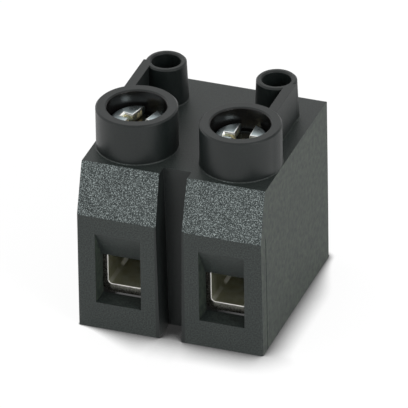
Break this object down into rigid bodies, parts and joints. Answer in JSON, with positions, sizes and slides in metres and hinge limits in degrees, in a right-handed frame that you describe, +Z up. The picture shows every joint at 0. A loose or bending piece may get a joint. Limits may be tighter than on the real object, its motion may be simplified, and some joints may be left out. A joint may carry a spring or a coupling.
{
  "type": "pcb terminal block",
  "caption": "Black moulded board terminal block with rising-cage screw clamps, tall screw collars, test sockets and funnel wire entries.",
  "frame": {"origin": "middle of the housing's footprint, on the face that rests on the board", "axes": "+Z up from the board along the screws, wires enter from -Y, the poles lie side by side along X"},
  "size_m": [0.0228, 0.0238, 0.0308],
  "materials": {
    "moulded_black": "moulded, fine spark-eroded grain",
    "nickel_sheet": "nickel plated",
    "tinned_copper": "tin plated copper alloy",
    "zinc_screw": "bright zinc plated"
  },
  "bodies": {
    "block": {"housing": "moulded_black", "current_bar_left": "tinned_copper", "current_bar_right": "tinned_copper"},
    "screw_left": {"clamp_screw_left": "zinc_screw"},
    "screw_right": {"clamp_screw_right": "zinc_screw"},
    "sleeve_left": {"tension_sleeve_left": "nickel_sheet"},
    "sleeve_right": {"tension_sleeve_right": "nickel_sheet"}
  },
  "joints": [
    {"name": "screw_left_turn", "type": "hinge", "parent": "block", "child": "screw_left", "pos_m": [-0.00635, -0.00455, 0.02455], "axis": [0, 0, -1], "range_deg": [0, 2880.01]},
    {"name": "screw_right_turn", "type": "hinge", "parent": "block", "child": "screw_right", "pos_m": [0.00635, -0.00455, 0.02455], "axis": [0, 0, -1], "range_deg": [0, 2880.01]},
    {"name": "sleeve_left_lift", "type": "slide", "parent": "block", "child": "sleeve_left", "axis": [0, 0, 1], "range_m": [0, 0.0048]},
    {"name": "sleeve_right_lift", "type": "slide", "parent": "block", "child": "sleeve_right", "axis": [0, 0, 1], "range_m": [0, 0.0048]}
  ],
  "couplings": [
    {"joint": "screw_left_turn", "follows": "sleeve_left_lift", "rad_per_m": 10472},
    {"joint": "screw_right_turn", "follows": "sleeve_right_lift", "rad_per_m": 10472}
  ]
}
